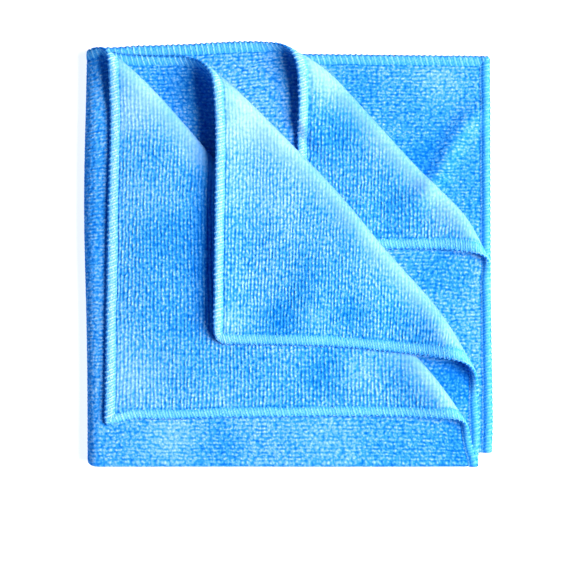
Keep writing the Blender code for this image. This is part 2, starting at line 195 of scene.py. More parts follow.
def roundCorner(u, v):  # the square's corners on arcs, by the map that takes a square to a disc
    radius = np.choose(layerOf(u, v) - 1, cloth["cornerRound"])
    flat = cloth["halfSide"] - radius
    across = np.maximum(np.abs(u) - flat, 0.0) / radius
    up = np.maximum(np.abs(v) - flat, 0.0) / radius
    roundU = np.sign(u) * (flat + radius * across * np.sqrt(1.0 - np.minimum(up, 1.0) ** 2 / 2))
    roundV = np.sign(v) * (flat + radius * up * np.sqrt(1.0 - np.minimum(across, 1.0) ** 2 / 2))
    return np.where(across > 0, roundU, u), np.where(up > 0, roundV, v)


def hemOffset(values, place):  # the spline's offset, eased in from the fold
    return smooth(place / cloth["hemRamp"]) * spline(values, place / cloth["hemSpace"])


def reaches(u, v):
    # how far right and up a layer's hems come: straight from fold to corner, plus the offsets
    index = layerOf(u, v) - 1
    right = np.where(u < 0, cloth["rightUpper"], cloth["rightLower"])
    top = np.where(v > 0, cloth["topOuter"], cloth["topInner"])
    cornerRight = np.choose(index, cloth["cornerRight"])
    cornerTop = np.choose(index, cloth["cornerTop"])
    half = cloth["halfSide"]
    right = mix(right, cornerRight, np.abs(v) / half)
    top = mix(top, cornerTop, np.abs(u) / half)
    for number, offsets in hemOffsets.items():
        mine = index == number - 1
        right[mine] += hemOffset(offsets["right"], np.abs(v[mine]))
        top[mine] += hemOffset(offsets["top"], np.abs(u[mine]))
    tip = cloth["tipOut"] * smooth((np.abs(v) - half) / cloth["tipLength"] + 1.0)
    return right + np.where(index == 0, tip, 0.0), top


def spread(u, v):
    # (a, b) before any flap turns: each quarter drawn straight from its centre lines to its hems
    half = cloth["halfSide"]
    startA, startB = starts(u, v)
    right, top = reaches(u, v)
    a = startA + np.abs(u) / half * (right - startA)
    b = startB + np.abs(v) / half * (top - startB)
    return a, b


def flapPlace(flap, a, b):  # place along the fold, from -1 to 1, and distance outwards from its line
    place = (b - a) / sqrt(2) / flap["half"]
    return place, (a + b - along(flap["line"], place)) / sqrt(2)


def turnBack(flap, a, b):
    # what lies past the line rolls over a half circle and comes back as a mirror image, eased out
    # or in so that the bend's outermost points lie on the edge
    place, out = flapPlace(flap, a, b)
    roll = widening(flap["roll"], place)
    strip = pi / 2 * roll
    angle = np.clip((out + strip) / roll, 0.0, pi)
    turned = np.where(out > strip, -out, np.where(out < -strip, out, roll * np.sin(angle) - strip))
    edge = spline(flap["edge"], (place + cloth["edgeReach"]) / cloth["edgeSpace"])
    ease = (edge - along(flap["line"], place)) / sqrt(2) + strip - roll
    ease = ease * smooth(1.0 + turned / cloth["easeLength"])
    shift = (turned + ease * smooth(np.minimum(a, b) / cloth["easeClear"]) - out) / sqrt(2)
    return a + shift, b + shift, (1.0 - np.cos(angle)) / 2


def flapLift(name, a, b):
    # bells along the fold and along both hems. B's left hem lies down at its corner, and C's hems
    # rise only where they are clear of B
    flap = flaps[name]
    place, out = flapPlace(flap, a, b)
    rise = widening(flap["lift"], place) * bump(np.minimum(out, 0.0), flap["fall"])
    left = flap["raiseLeft"] * bump(a - flap["hemLeft"], cloth["raiseWidth"])
    low = flap["raiseLow"] * bump(b - flap["hemLow"], cloth["raiseWidth"])
    if name == "B":
        left = left * smooth((b - flap["hemLow"]) / cloth["cornerDown"])
    if name == "C":
        clear = smooth((a + b - cloth["clearFrom"]) / cloth["clearOver"])
        left = left * clear
        low = low * clear
    return rise + left + low


def wave(a, b):  # two slow crossed sines
    first, second = cloth["waveLengths"]
    slow = np.sin(2 * pi * (a / first + cloth["waveSway"] * np.sin(2 * pi * b / second)))
    cross = np.sin(2 * pi * (b / first - a / second) + cloth["waveShift"])
    return cloth["waveHeight"] * (slow + cross) / 2


def creaseHeight(name, a, b):
    # each ridge is a bell across a line that sways by a sine, eased to nothing over its end thirds
    total = np.zeros_like(a)
    for where, start, end, width, height in creases:
        if where == name:
            line = np.subtract(end, start)
            length = np.hypot(*line)
            run = ((a - start[0]) * line[0] + (b - start[1]) * line[1]) / length
            off = ((b - start[1]) * line[0] - (a - start[0]) * line[1]) / length
            off = off + cloth["ridgeSway"] * length * np.sin(2 * pi * run / length)
            ends = smooth(cloth["ridgeEnds"] * run / length)
            ends = ends * smooth(cloth["ridgeEnds"] * (1.0 - run / length))
            total = total + height * bump(off, width) * ends
    return total


def levels(a, b):
    # height of each layer and flap: its place in the stack, plus the wave, the flap's own lift and
    # all the ridges up to it
    swell = wave(a, b)
    climb = cloth["coverRamp"]
    cover = smooth((a - flaps["C"]["hemLeft"] + cloth["coverLead"]) / climb + 1.0)
    cover = cover * smooth((b - flaps["C"]["hemLow"] + cloth["coverLead"]) / climb + 1.0)
    pitch = cloth["pitch"]
    base3 = cloth["thick"] / 2 + pitch
    base2 = base3 + pitch * (1.0 + cover)
    level = {
        "4": np.full_like(a, cloth["thick"] / 2),
        "3": base3 + waveShare["3"] * swell,
        "C": base3 + pitch + waveShare["C"] * swell * (1.0 - cover) + flapLift("C", a, b),
        "2": base2 + waveShare["2"] * swell,
        "1": base2 + pitch + waveShare["1"] * swell,
        "A": base2 + 2 * pitch + waveShare["A"] * swell + flapLift("A", a, b),
        "B": base2 + 3 * pitch + waveShare["B"] * swell + flapLift("B", a, b),
    }
    ridges = np.zeros_like(a)
    for name in ("4", "3", "C", "2", "1", "A", "B"):
        ridges = ridges + creaseHeight(name, a, b)
        level[name] = level[name] + ridges
    return level


def bendAngle(side, fromStart, strip):  # 0 on one side of a fold, pi on the other
    return pi / 2 * (1.0 - np.sign(side) * np.clip(fromStart / strip, 0.0, 1.0))


def fold(u, v):
    # middle of the sheet: spread over its quarter, flaps turned, then round the two folds on
    # half ellipses between the layers' heights
    half = cloth["halfSide"]
    u, v = roundCorner(u, v)
    startA, startB = starts(u, v)
    a, b = spread(u, v)
    layer = layerOf(u, v)
    turned = np.zeros_like(a)
    for flap in flaps.values():
        mine = layer == flap["layer"]
        a[mine], b[mine], turned[mine] = turnBack(flap, a[mine], b[mine])

    low = mix(cloth["lowerBendLeft"], cloth["lowerBendRight"], np.clip(a / half, 0.0, 1.0))
    over = (1.0 - np.cos(bendAngle(v, b - startB, cloth["lowStrip"]))) / 2
    bendA = mix(cloth["outerBend"], cloth["innerBend"], over)
    angleU = bendAngle(u, a - startA, bendA - startA)
    up = (1.0 - np.cos(angleU)) / 2
    bendB = mix(low, cloth["upperBend"], up)
    angleV = bendAngle(v, b - startB, bendB - startB)
    over = (1.0 - np.cos(angleV)) / 2
    bulge = cloth["bulge"] * bump(b - cloth["bulgeAt"], cloth["bulgeWide"])
    reach = mix(cloth["outerReach"] + bulge, cloth["innerReach"], over)
    x = np.where(a < bendA, bendA - reach * np.sin(angleU), a)
    y = np.where(b < bendB, bendB - cloth["lowReach"] * np.sin(angleV), b)

    level = levels(x, y)
    z = mix(mix(level["4"], level["3"], over), mix(level["1"], level["2"], over), up)
    roll = bump(half - np.abs(u) - cloth["rollAt"], cloth["rollWide"])
    z = z + roll * np.choose(layer - 1, cloth["rollUp"]) * (1.0 - turned)
    hang = cloth["droop"] * smooth(1.0 - (half - np.abs(u)) / cloth["droopWide"])
    for name, flap in flaps.items():
        mine = layer == flap["layer"]
        z[mine] = mix(z[mine], level[name][mine] - hang[mine], turned[mine])
    return np.stack([x * cloth["acrossScale"], y, z], axis=-1)


def foldWithNormal(u, v):
    # the sheet's middle, and its unit normal from differences over a short step
    step = 0.3
    alongU = fold(u + step, v) - fold(u - step, v)
    alongV = fold(u, v + step) - fold(u, v - step)
    normal = np.cross(alongU, alongV)
    normal /= np.maximum(np.linalg.norm(normal, axis=-1, keepdims=True), 1e-9)
    return fold(u, v), normal


# The solid's box is centred on the origin, so the fold is moved by the same amount
coarseLines = np.linspace(-cloth["halfSide"], cloth["halfSide"], 401)
whole = fold(*np.meshgrid(coarseLines, coarseLines)).reshape(-1, 3)
cadLow, cadHigh = (np.array(corner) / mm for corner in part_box("cloth"))
centre = (whole.min(axis=0) + whole.max(axis=0))[:2] / 2 - (cadLow + cadHigh)[:2] / 2
print("fold placed, moved by", np.round(-centre, 2), "mm")


def toFrame(points):  # into metres on the part's own origin, nothing below the floor
    placed = points.copy()
    placed[..., :2] -= centre
    placed[..., 2] = np.maximum(placed[..., 2], 0.0)
    return placed * mm


# The pile's ribs run along u. The underside has the same noises with other seeds, and underShift
# is added to the rib phase that its material reads, but not to that of its relief.
pile = {
    "rib": 1.8, "height": 0.07, "loop": 2.4, "swellFrom": 0.75, "underSeed": 20, "underShift": 0.5,
    # Soft noises. Columns: share, size, how much closer they lie across the ribs, seed
    "wander": (0.2, 17.0, 1.0, 3), "shiver": (0.16, 4.5, 2.0, 5),
    "swell": (0.45, 4.2, 1.6, 7), "tuft": (0.55, 2.1, 2.2, 9),
    # The trench beside the hem: how far in, how wide and how deep
    "trenchAt": 5.4, "trench": 0.5, "trenchDeep": 0.15,
    # Grid lines: so many to a rib, and across the ribs so many in the bend, the middle and the hem
    "perRib": 4, "bendLines": 14, "midLines": 80, "hemLines": 16,
    "bendStrip": 9.5, "hemFrom": 7.0, "edgeIn": 0.5,
}


def pileNoise(name, u, v, seed):  # one of the pile's soft noises, times its share
    share, size, closer, ownSeed = pile[name]
    return share * softNoise(u, v * closer, size, ownSeed + seed)


def ribPhase(u, v, seed):  # ribs passed so far: one every pile["rib"], wandering with soft noise
    wander = pileNoise("wander", u, v, seed) + pileNoise("shiver", u, v, seed)
    return v / pile["rib"] + wander


def ribHeight(u, v, seed):
    # a cosine over the rib phase that swells with soft noise, random tufts on top, and a trench
    # beside the hem
    swell = pile["swellFrom"] + pileNoise("swell", u, v, seed)
    inward = cloth["halfSide"] - np.maximum(np.abs(u), np.abs(v))
    trench = bump(inward - pile["trenchAt"], pile["trench"])
    height = np.cos(2 * pi * ribPhase(u, v, seed)) * swell + pileNoise("tuft", u, v, seed)
    return pile["height"] * height - pile["trenchDeep"] * trench


def gridFaces(rows, columns, first=0, flip=False):  # quads over a rows x columns grid of points
    index = first + np.arange(rows * columns).reshape(rows, columns)
    quads = np.stack([index[:-1, :-1], index[:-1, 1:], index[1:, 1:], index[1:, :-1]], axis=-1)
    quads = quads.reshape(-1, 4)
    return quads[:, ::-1] if flip else quads


def rimFaces(rows, columns):  # quads from the border of one grid to that of the next
    index = np.arange(rows * columns).reshape(rows, columns)
    border = np.concatenate([index[0, :-1], index[:-1, -1], index[-1, :0:-1], index[:0:-1, 0]])
    after = np.roll(border, -1)
    under = rows * columns
    return np.column_stack([after, border, border + under, after + under])


def makeMesh(name, points, faces, flat, marks):
    # a mesh from whole arrays, with the flat cloth as its UV map and marks as point attributes
    mesh = bpy.data.meshes.new(name)
    mesh.vertices.add(len(points))
    mesh.vertices.foreach_set("co", points.astype(np.float32).ravel())
    mesh.loops.add(faces.size)
    mesh.loops.foreach_set("vertex_index", faces.astype(np.int32).ravel())
    mesh.polygons.add(len(faces))
    mesh.polygons.foreach_set("loop_start", np.arange(0, faces.size, 4, dtype=np.int32))
    mesh.update(calc_edges=True)
    mesh.shade_smooth()
    weave = mesh.uv_layers.new(name="weave")
    uv = flat[faces.ravel()] / (2 * cloth["halfSide"]) + 0.5
    weave.data.foreach_set("uv", uv.astype(np.float32).ravel())
    for mark, values in marks.items():
        layer = mesh.attributes.new(mark, "FLOAT", "POINT")
        layer.data.foreach_set("value", values.astype(np.float32).ravel())
    piece = bpy.data.objects.new(name, mesh)
    bpy.context.scene.collection.objects.link(piece)
    return piece


# Painted highlight along each flap's fold: the pile lighter in a bell over the fold's line, wider on
# its turned side, and patches of soft noise. Columns of patches: share, size, seed. back is 1 past
# backOver of a fold's line, and a spot painted lighter counts as so much of a bend.
foldLightMarks = {
    "turnedAt": 3.0, "turnedWide": 9.0, "plainWide": 3.5,
    "patches": ((0.25, 27.0, 41), (0.2, 11.0, 43)), "backOver": 4.0, "litSpotBend": 0.5,
}

# Painted light and shade: spots in the folded pack painted lighter (above 0) or darker, on each flap
# and on what isn't turned of each layer, among them a row of painted shadow on A beside B's left hem
# and painted shadow on layer 2 under B's curl. Columns: a, b, radius, strength.
paintedLightSpots = {
    "A": ((21, 165, 14, 1.1), (15, 42, 17, 0.9), (139, 45, 11, 0.7), (43, 106, 24, -0.6),
          (53, 68, 11, -0.5), (36, 48, 16, 0.4), (116, 44, 9, -0.6), (30, 130, 14, 0.5),
          (61, 149, 7, -0.6), (61, 136, 7, -0.7), (60, 121, 7, -0.8), (60, 106, 7, -0.9),
          (60, 91, 7, -0.9), (61, 77, 7, -0.8), (70, 36, 9, 0.4)),
    "B": ((73, 160, 15, 1.3), (76, 132, 13, 0.6), (70, 68, 8, 0.7), (97, 69, 9, -0.9),
          (132, 71, 8, -0.9), (116, 104, 16, -0.2), (112, 70, 6, 0.4), (160, 70, 12, -0.4),
          (92, 152, 14, 0.45), (95, 122, 14, 0.35), (122, 106, 8, 0.3), (106, 84, 8, -0.3),
          (120, 92, 8, -0.3), (133, 106, 8, -0.2)),
    "C": ((113, 181, 11, 0.6), (128, 160, 13, -0.7), (154, 124, 12, -0.8)),
    "1": ((42, 12, 14, 0.7), (70, 6, 9, -0.4), (120, 12, 16, 0.55), (186, 10, 14, -0.5)),
    "2": ((52, 180, 13, -0.5), (97, 179, 9, -0.6), (190, 44, 14, -1.0), (182, 36, 15, -0.8)),
    "3": ((172, 96, 14, -0.5), (190, 70, 12, 0.2)),
    "4": ((166, 145, 9, -0.8), (176, 182, 11, 0.5), (188, 140, 10, 0.2), (142, 178, 12, -0.3),
          (168, 170, 32, -0.45), (188, 134, 20, -0.25), (178, 144, 5, 0.5), (186, 151, 5, 0.5),
          (194, 158, 5, 0.5), (172, 150, 5, -0.4), (180, 158, 5, -0.3)),
}


def pastFold(u, v):
    # distance outwards past the fold line of the point's own flap, and far before it on layer 4,
    # which has none
    farBefore = -99.0
    layer = layerOf(u, v)
    a, b = spread(u, v)
    out = np.full_like(u, farBefore)
    for flap in flaps.values():
        mine = layer == flap["layer"]
        out[mine] = flapPlace(flap, a[mine], b[mine])[1]
    return out


def paintedLightMarks(u, v):
    # painted light on the pile: a painted highlight in a bell across each flap's fold, soft noise, and
    # a bell of painted light or shade for each spot. Then the fold's bell with half of the spots
    # painted lighter, and 1 on turned flaps
    layer = layerOf(u, v)
    out = pastFold(u, v)
    bend = np.where(out > 0, bump(out - foldLightMarks["turnedAt"], foldLightMarks["turnedWide"]),
                    bump(out, foldLightMarks["plainWide"]))
    lightAndPatches = bend
    for share, size, seed in foldLightMarks["patches"]:
        lightAndPatches = lightAndPatches + share * softNoise(u, v, size, seed)
    folded = fold(u, v)
    a = folded[..., 0] / cloth["acrossScale"]
    b = folded[..., 1]
    for where, places in paintedLightSpots.items():
        number = flaps[where]["layer"] if where in flaps else int(where)
        mine = (layer == number) & ((out > 0) == (where in flaps))
        for spotA, spotB, radius, strength in places:
            spot = np.where(mine, strength * bump(np.hypot(a - spotA, b - spotB), radius), 0.0)
            lightAndPatches = lightAndPatches + spot
            bend = bend + foldLightMarks["litSpotBend"] * np.maximum(spot, 0.0)
    return lightAndPatches, np.minimum(bend, 1.0), smooth(out / foldLightMarks["backOver"])


def layerPiece(layer):
    # one quarter of the cloth: both faces as grids over (u, v), offset from the folded middle by
    # half the thickness plus the ribs, and closed round the rim
    half = cloth["halfSide"] - pile["edgeIn"]
    hemInner = cloth["halfSide"] - pile["hemFrom"]
    bend = np.linspace(0.0, pile["bendStrip"], pile["bendLines"], endpoint=False)
    middle = np.linspace(pile["bendStrip"], hemInner, pile["midLines"], endpoint=False)
    alongRibs = np.concatenate([bend, middle, np.linspace(hemInner, half, pile["hemLines"])])
    acrossRibs = np.arange(0.0, half, pile["rib"] / pile["perRib"])
    signU = -1.0 if layer in (1, 2) else 1.0
    signV = 1.0 if layer in (1, 4) else -1.0
    u, v = np.meshgrid(np.sort(signU * alongRibs), np.sort(signV * acrossRibs))
    middleOf, normal = foldWithNormal(u, v)
    halfThick = cloth["thick"] / 2
    under = pile["underSeed"]
    top = middleOf + normal * (halfThick + ribHeight(u, v, 0))[..., None]
    bottom = middleOf - normal * (halfThick + ribHeight(u, v, under))[..., None]
    rows, columns = u.shape
    points = toFrame(np.concatenate([top.reshape(-1, 3), bottom.reshape(-1, 3)]))
    faces = np.concatenate([
        gridFaces(rows, columns),
        gridFaces(rows, columns, rows * columns, flip=True),
        rimFaces(rows, columns),
    ])
    flat = np.tile(np.column_stack([u.ravel(), v.ravel()]), (2, 1))
    underPhase = ribPhase(u, v, under) + pile["underShift"]
    phase = np.concatenate([ribPhase(u, v, 0).ravel(), underPhase.ravel()])
    # marks of painted light: the painted highlight along the folds and the painted light and shade
    # spots, with soft patches
    lightAndPatches, bend, back = (np.tile(mark.ravel(), 2) for mark in paintedLightMarks(u, v))
    marks = {"rib": phase, "paintedLightAndPatches": lightAndPatches, "bend": bend, "back": back}
    return makeMesh(f"clothLayer{layer}", points, faces, flat, marks)


overlock = {
    # The stitches' length, points to each, slant, and how much and how fast their height varies
    "stitch": 2.8, "perStitch": 6, "slant": 0.3, "beat": 0.2, "beatRate": 7.3,
    # Heights of the ridges and beads, the share of a stitch's height that counts as level, how far
    # the beads stand out sideways and over what width, and the painted shade in the grooves between
    # them
    "ridge": 0.14, "bead": 0.2, "ridgeBase": 0.6, "loop": 0.65, "loopWide": 1.0, "grooveShade": 0.1,
    # The inner edge's wobble: how far, its soft noise, and from where and over what width it grows
    "wobble": 0.3, "wobbleSize": 7.0, "wobbleDrawn": 0.7, "wobbleRow": 9.0, "wobbleSeed": 61,
    "wobbleFrom": 1.0, "wobbleOver": 4.0,
    # Looks are shade, depth of the bars' painted shade, and share of their relief: on a turned flap's
    # left and lower hems, and on the upper and right hems of what isn't turned. The shades are partly
    # painted
    # light: a flap's left hems, which tilt towards the light, are painted lighter than its lower ones.
    # Towards a corner, within cornerFade, a flap's lower hem takes on its left one's shade
    "flapLeft": (1.0, 0.05, 0.5), "flapLow": (0.84, 0.2, 0.8), "cornerFade": 32.0,
    "top": (1.55, 0.45, 0.9), "right": (1.28, 0.15, 0.6),
}
# The band's profile from its inner edge to the rim. Columns: inward, depth, share of bead, and the
# shade on a turned flap, on an upper hem and on a right one. On a right hem the shade is painted shade
# in the groove at 3.7 and a painted highlight growing towards the rim, where the roll faces the light;
# an upper hem's rim has painted shade. The last row is the rim itself.
overlockProfile = np.array([
    (5.5, 0.50, 0.05, 0.75, 0.50, 0.50), (5.1, 0.70, 0.2, 0.75, 0.50, 0.70),
    (4.7, 0.88, 0.25, 0.90, 0.52, 0.80), (4.2, 0.95, 0.1, 0.95, 0.54, 0.50),
    (3.7, 1.00, 0.0, 1.00, 0.56, 0.12), (3.2, 1.02, 0.0, 1.00, 0.58, 0.30),
    (2.6, 1.04, 0.0, 1.00, 0.60, 0.48), (2.0, 1.02, 0.1, 1.00, 0.62, 0.56),
    (1.4, 0.95, 0.2, 1.00, 0.64, 0.62), (0.9, 0.85, 0.6, 1.00, 0.60, 0.68),
    (0.45, 0.65, 0.9, 1.00, 0.42, 0.74), (0.12, 0.35, 1.0, 0.95, 0.18, 0.74),
    (0.0, 0.0, 1.0, 0.8, 0.3, 0.74),
])


def sidePlace(turn, edge, lengthwise):  # (u, v) on one of the four sides
    u, v = ((lengthwise, -edge), (edge, lengthwise), (-lengthwise, edge), (-edge, -lengthwise))[turn]
    return u, v


def bandLooks(turn, lengthwise, back, flapShade, topShade, rightShade):
    # shade, depth of bars and share of relief along one side, each mixed by back from what a plain
    # hem has to what a flap's has
    if turn in (0, 2):
        plain, flap, plainShade = overlock["top"], overlock["flapLeft"], topShade
        flapTone = flap[0]
    else:
        plain, flap, plainShade = overlock["right"], overlock["flapLow"], rightShade
        fromCorner = smooth((cloth["halfSide"] - np.abs(lengthwise)) / overlock["cornerFade"])
        flapTone = mix(overlock["flapLeft"][0], flap[0], fromCorner)
    shade = mix(plainShade * plain[0], flapShade * flapTone, back)
    return shade, mix(plain[1], flap[1], back), mix(plain[2], flap[2], back)


def overlockSide(turn):
    # the thread band of one side of the cloth: a U-shaped profile round the edge, carried along
    # it, with a faint slanting ridge across it and a bead at its rim for every stitch
    half = cloth["halfSide"]
    share = np.linspace(-1.0, 1.0, round(2 * half / overlock["stitch"]) * overlock["perStitch"] + 1)
    profile = np.concatenate([overlockProfile, overlockProfile[-2::-1]])
    faceRows = len(overlockProfile) - 1
    sign = np.repeat([1.0, 0.0, -1.0], [faceRows, 1, faceRows])
    sign = np.repeat(sign[:, None], len(share), 1)
    inward, depth, bead, *shades = (np.repeat(column[:, None], len(share), 1) for column in profile.T)
    lengthwise = share * (half - inward)
    back = smooth(pastFold(*sidePlace(turn, half - inward, lengthwise)) / foldLightMarks["backOver"])
    shade, bars, relief = bandLooks(turn, lengthwise, back, *shades)

    stitch = (lengthwise + overlock["slant"] * inward * sign) / overlock["stitch"]
    beat = 1.0 - overlock["beat"] + overlock["beat"] * np.sin(overlock["beatRate"] * stitch)
    lump = (0.5 + 0.5 * np.cos(2 * pi * stitch)) * beat
    # painted shade in the grooves between beads and in bars between the slanting ridges
    shade = shade * mix(1.0 - bars * (1.0 - lump), mix(overlock["grooveShade"], 1.0, lump), bead)

    row = np.full_like(lengthwise, overlock["wobbleRow"] * turn)
    uneven = softNoise(lengthwise * overlock["wobbleDrawn"], row, overlock["wobbleSize"],
                       overlock["wobbleSeed"])
    wobble = smooth((inward - overlock["wobbleFrom"]) / overlock["wobbleOver"])
    inward = inward + overlock["wobble"] * uneven * wobble
    loop = overlock["loop"] * relief * (lump - 0.5) * bump(inward, overlock["loopWide"])
    u, v = sidePlace(turn, half - inward + loop, lengthwise)
    middleOf, normal = foldWithNormal(u, v)
    raised = (lump - overlock["ridgeBase"]) * relief * mix(overlock["ridge"], overlock["bead"], bead)
    return middleOf + normal * (sign * (depth + raised))[..., None], u, v, shade, stitch


def overlockEdge():  # the bands of all four sides in one mesh
    sides = zip(*[overlockSide(turn) for turn in range(4)])
    points, u, v, shade, stitch = (np.stack(values) for values in sides)
    turns, rows, columns = u.shape
    faces = [gridFaces(rows, columns, turn * rows * columns, flip=True) for turn in range(turns)]
    marks = {"shade": shade, "stitch": stitch}
    return makeMesh("overlockEdge", toFrame(points.reshape(-1, 3)), np.concatenate(faces),
                    np.column_stack([u.ravel(), v.ravel()]), marks)


def addNode(tree, kind, **values):
    # a new node. Each value goes to its setting of that name, or else to its input of that name
    node = tree.nodes.new(kind)
    for key, value in values.items():
        if hasattr(node, key):
            setattr(node, key, value)
        else:
            node.inputs[key].default_value = value
    return node


def maths(tree, operation, *values):  # a Math node; each value is a number or a socket to link
    node = addNode(tree, "ShaderNodeMath", operation=operation)
    for socket, value in zip(node.inputs, values):
        if isinstance(value, (int, float)):
            socket.default_value = value
        else:
            tree.links.new(value, socket)
    return node.outputs["Value"]


def ramp(tree, factor, stops):  # colours at their places along a factor, straight between them
    node = tree.nodes.new("ShaderNodeValToRGB")
    elements = node.color_ramp.elements
    while len(elements) < len(stops):
        elements.new(0.5)
    for element, (place, colour) in zip(elements, stops):
        element.position = place
        element.color = (*colour, 1.0)
    tree.links.new(factor, node.inputs["Fac"])
    return node.outputs["Color"]


def readMark(tree, name):  # one of the mesh's point attributes
    return addNode(tree, "ShaderNodeAttribute", attribute_name=name).outputs["Fac"]


def parts(tree, vector):  # the X and Y of a vector or colour
    node = tree.nodes.new("ShaderNodeSeparateXYZ")
    tree.links.new(vector, node.inputs["Vector"])
    return node.outputs["X"], node.outputs["Y"]


def fibreGroup():
    # fine fluff: a noise over the flat cloth less the distance in a smooth cell pattern
    group = bpy.data.node_groups.new("fibreFluff", "ShaderNodeTree")
    group.interface.new_socket(name="Scale", in_out="INPUT", socket_type="NodeSocketFloat")
    group.interface.new_socket(name="Fluff", in_out="OUTPUT", socket_type="NodeSocketFloat")
    source = group.nodes.new("NodeGroupInput")
    result = group.nodes.new("NodeGroupOutput")
    weave = addNode(group, "ShaderNodeUVMap", uv_map="weave")
    coarse = addNode(group, "ShaderNodeTexNoise", Detail=3.0, Roughness=0.65)
    fine = addNode(group, "ShaderNodeTexVoronoi", feature="SMOOTH_F1")
    for texture in (coarse, fine):
        group.links.new(weave.outputs["UV"], texture.inputs["Vector"])
        group.links.new(source.outputs["Scale"], texture.inputs["Scale"])
    fluff = maths(group, "SUBTRACT", coarse.outputs["Fac"], fine.outputs["Distance"])
    group.links.new(fluff, result.inputs["Fluff"])
    return group


# What both fabrics share
fabricValues = {
    "Roughness": 0.9, "Specular IOR Level": 0.05, "Sheen Weight": 0.15, "Sheen Roughness": 0.35,
    "Sheen Tint": (0.15, 0.5, 1.0, 1.0),
}


def fabric(name, values, fluffGroup):
    # a rough, sheened fabric, with its fluff at the values' own scale
    material = bpy.data.materials.new(name)
    material.use_nodes = True
    tree = material.node_tree
    shader = tree.nodes["Principled BSDF"]
    for socket, value in fabricValues.items():
        shader.inputs[socket].default_value = value
    fluff = tree.nodes.new("ShaderNodeGroup")
    fluff.node_tree = fluffGroup
    fluff.inputs["Scale"].default_value = values["scale"]
    return material, tree, shader, fluff.outputs["Fluff"]


def addSurface(tree, shader, values, tone, height):
    # the tone through the values' own colours, and the height as a bump of their depth
    tree.links.new(ramp(tree, tone, values["stops"]), shader.inputs["Base Color"])
    relief = addNode(tree, "ShaderNodeBump", Strength=1.0, Distance=values["depth"])
    tree.links.new(height, relief.inputs["Height"])
    tree.links.new(relief.outputs["Normal"], shader.inputs["Normal"])


terry = {
    "stops": ((0.0, (0.0, 0.13, 0.55)), (0.36, (0.026, 0.255, 0.68)), (0.64, (0.155, 0.385, 0.73)),
              (1.0, (0.42, 0.66, 0.84))),
    "scale": 380.0, "depth": 0.00029,
    # The loops' pattern: its shift by soft noise on plain cloth and on turned flaps, and its domes
    "warp": 0.75, "backWarp": 0.45, "warpScale": 105.0, "scatter": 0.6, "dome": 1.5,
    # Shares of each in the tufts, the relief and the tone. The tone follows the relief as painted shade
    # in the hollows between loops and ribs and lighter tops, ribTone of it along the ribs and backTone
    # on turned flaps, and lightAndPatchesTone adds the painted highlight along folds and the painted
    # light and shade spots. tuftBase and middleTone are added, darker is taken off, and bendCalm takes
    # relief and contrast away at bends
    "domeShare": 0.7, "fluffShare": 0.7, "tuftBase": 0.05, "ribRelief": 0.7, "bendCalm": 0.75,
    "contrast": 0.98, "darker": 0.585, "ribTone": 0.2, "backTone": 0.28, "lightAndPatchesTone": 0.24,
    "middleTone": 0.4,
    # The dotted seam beside the hem: its width, its shade, how much of that comes and goes, and the
    # base of its bell, which is about e
    "seamWide": 0.55, "seam": 0.12, "seamDots": 0.08, "bellBase": 2.718,
}


def loopPattern(tree, weave, back):
    # loops in rows along the ribs: 1 less a power of the distance in random cells over (distance
    # along, rib phase), both shifted by soft noise. Then half a cosine over the shifted rib phase
    warp = addNode(tree, "ShaderNodeTexNoise", Scale=terry["warpScale"], Detail=1.0)
    tree.links.new(weave, warp.inputs["Vector"])
    shiftAlong, shiftAcross = parts(tree, warp.outputs["Color"])
    shiftAlong = maths(tree, "MULTIPLY", shiftAlong, terry["warp"])
    flatU = parts(tree, weave)[0]
    loops = maths(tree, "MULTIPLY_ADD", flatU, 2 * cloth["halfSide"] / pile["loop"], shiftAlong)
    warpShare = maths(tree, "MULTIPLY_ADD", back, terry["backWarp"] - terry["warp"], terry["warp"])
    ribs = maths(tree, "MULTIPLY_ADD", shiftAcross, warpShare, readMark(tree, "rib"))
    place = tree.nodes.new("ShaderNodeCombineXYZ")
    tree.links.new(loops, place.inputs["X"])
    tree.links.new(ribs, place.inputs["Y"])
    cells = addNode(tree, "ShaderNodeTexVoronoi", voronoi_dimensions="2D", Scale=1.0,
                    Randomness=terry["scatter"])
    tree.links.new(place.outputs["Vector"], cells.inputs["Vector"])
    dome = maths(tree, "SUBTRACT", 1.0, maths(tree, "POWER", cells.outputs["Distance"], terry["dome"]))
    cosine = maths(tree, "COSINE", maths(tree, "MULTIPLY", ribs, 2 * pi))
    return dome, maths(tree, "MULTIPLY", cosine, 0.5)


def seamTone(tree, weave):
    # a dotted line beside the hem: a bell across it, times its shade plus a cosine along it
    size = 2 * cloth["halfSide"]
    fromMiddle = [maths(tree, "ABSOLUTE", maths(tree, "MULTIPLY_ADD", flat, size, -size / 2))
                  for flat in parts(tree, weave)]
    inward = maths(tree, "SUBTRACT", size / 2, maths(tree, "MAXIMUM", *fromMiddle))
    off = maths(tree, "DIVIDE", maths(tree, "SUBTRACT", inward, pile["trenchAt"]), terry["seamWide"])
    off = maths(tree, "MULTIPLY", maths(tree, "MULTIPLY", off, off), -1.0)
    turn = maths(tree, "MULTIPLY", maths(tree, "MINIMUM", *fromMiddle), 2 * pi / overlock["stitch"])
    dots = maths(tree, "MULTIPLY_ADD", maths(tree, "COSINE", turn), terry["seamDots"], terry["seam"])
    return maths(tree, "MULTIPLY", maths(tree, "POWER", terry["bellBase"], off), dots)


